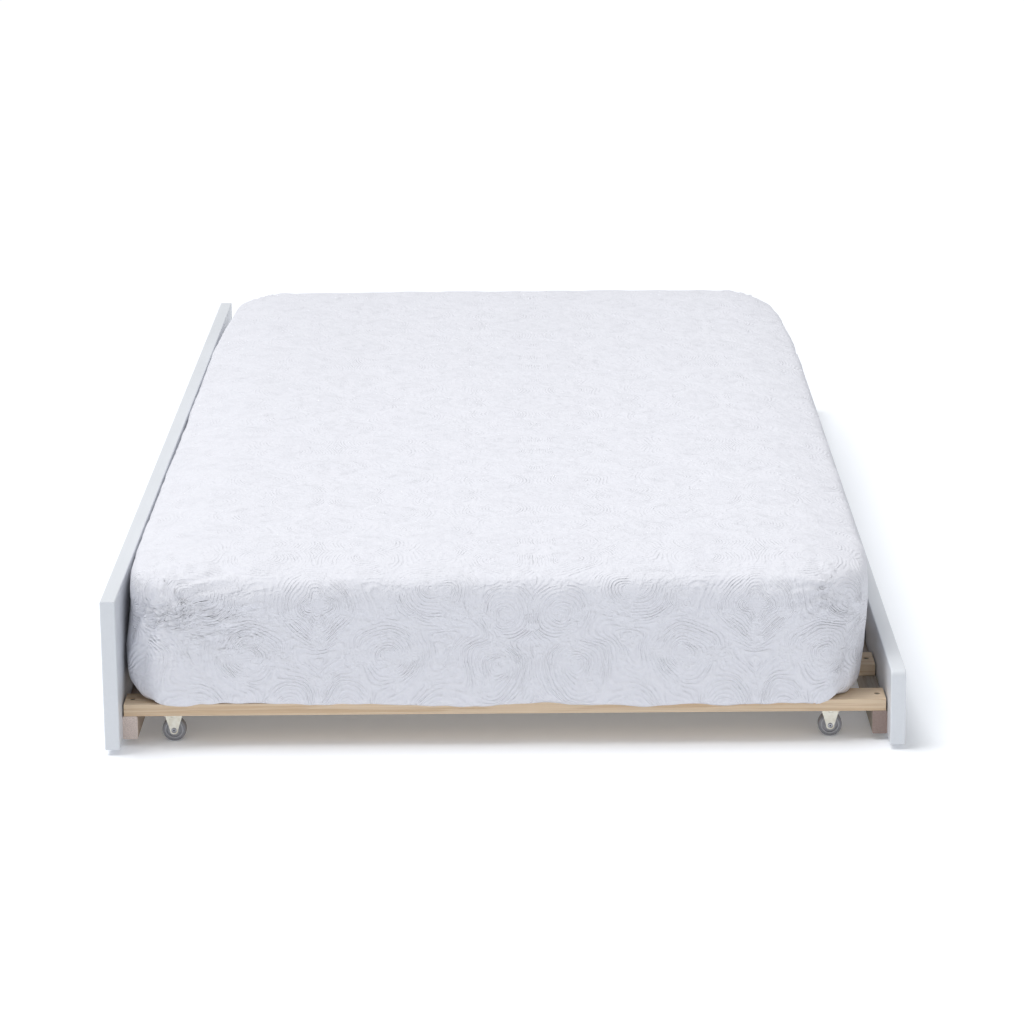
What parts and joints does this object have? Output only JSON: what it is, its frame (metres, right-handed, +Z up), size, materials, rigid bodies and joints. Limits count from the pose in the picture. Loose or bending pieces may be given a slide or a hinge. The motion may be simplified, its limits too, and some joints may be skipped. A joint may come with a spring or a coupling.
{
  "type": "trundle bed",
  "caption": "Low white trundle bed with a tall front panel, pine slats, small fixed casters and a mattress in a patterned fitted cover.",
  "frame": {"origin": "on the floor, under the middle of the side panels' outline", "axes": "+X to the low rear panel, +Y along the bed to its far end, +Z up"},
  "size_m": [1.064, 1.97, 0.245],
  "materials": {
    "white_paint": "satin white paint on board",
    "ledger_pine": "planed bare pine",
    "slat_pine": "planed bare pine",
    "screw_zinc": "bright zinc plate",
    "bracket_zinc": "yellow zinc plate",
    "rivet_steel": "bright steel",
    "wheel_plastic": "moulded grey plastic",
    "tread_plastic": "soft light grey tread",
    "foam": "open foam",
    "cover_cloth": "white cotton with a raised woven pattern"
  },
  "bodies": {
    "frame": {"front_panel": "white_paint", "rear_panel": "white_paint", "front_ledger": "ledger_pine", "rear_ledger": "ledger_pine", "slat_01": "slat_pine", "slat_02": "slat_pine", "slat_03": "slat_pine", "slat_04": "slat_pine", "slat_05": "slat_pine", "slat_06": "slat_pine", "slat_07": "slat_pine", "slat_08": "slat_pine", "slat_09": "slat_pine", "slat_10": "slat_pine", "slat_11": "slat_pine", "slat_12": "slat_pine", "slat_13": "slat_pine", "slat_screws": "screw_zinc", "ledger_screws": "screw_zinc", "caster_screws": "screw_zinc", "caster_bracket_1": "bracket_zinc", "caster_bracket_2": "bracket_zinc", "caster_bracket_3": "bracket_zinc", "caster_bracket_4": "bracket_zinc", "caster_bracket_5": "bracket_zinc", "caster_bracket_6": "bracket_zinc", "axle_1": "rivet_steel", "axle_2": "rivet_steel", "axle_3": "rivet_steel", "axle_4": "rivet_steel", "axle_5": "rivet_steel", "axle_6": "rivet_steel"},
    "wheel_1": {"wheel_hub_1": "wheel_plastic", "tyre_1": "tread_plastic"},
    "wheel_2": {"wheel_hub_2": "wheel_plastic", "tyre_2": "tread_plastic"},
    "wheel_3": {"wheel_hub_3": "wheel_plastic", "tyre_3": "tread_plastic"},
    "wheel_4": {"wheel_hub_4": "wheel_plastic", "tyre_4": "tread_plastic"},
    "wheel_5": {"wheel_hub_5": "wheel_plastic", "tyre_5": "tread_plastic"},
    "wheel_6": {"wheel_hub_6": "wheel_plastic", "tyre_6": "tread_plastic"},
    "mattress": {"mattress_core": "foam", "mattress_cover": "cover_cloth"}
  },
  "joints": [
    {"name": "wheel_1_spin", "type": "hinge", "parent": "frame", "child": "wheel_1", "pos_m": [-0.445, -0.919, 0.016], "axis": [0, 1, 0], "continuous": true},
    {"name": "wheel_2_spin", "type": "hinge", "parent": "frame", "child": "wheel_2", "pos_m": [0.437, -0.919, 0.016], "axis": [0, 1, 0], "continuous": true},
    {"name": "wheel_3_spin", "type": "hinge", "parent": "frame", "child": "wheel_3", "pos_m": [-0.445, 0, 0.016], "axis": [0, 1, 0], "continuous": true},
    {"name": "wheel_4_spin", "type": "hinge", "parent": "frame", "child": "wheel_4", "pos_m": [0.437, 0, 0.016], "axis": [0, 1, 0], "continuous": true},
    {"name": "wheel_5_spin", "type": "hinge", "parent": "frame", "child": "wheel_5", "pos_m": [-0.445, 0.919, 0.016], "axis": [0, 1, 0], "continuous": true},
    {"name": "wheel_6_spin", "type": "hinge", "parent": "frame", "child": "wheel_6", "pos_m": [0.437, 0.919, 0.016], "axis": [0, 1, 0], "continuous": true},
    {"name": "mattress_lift", "type": "slide", "parent": "frame", "child": "mattress", "axis": [0, 0, 1], "range_m": [0, 0.25]}
  ]
}
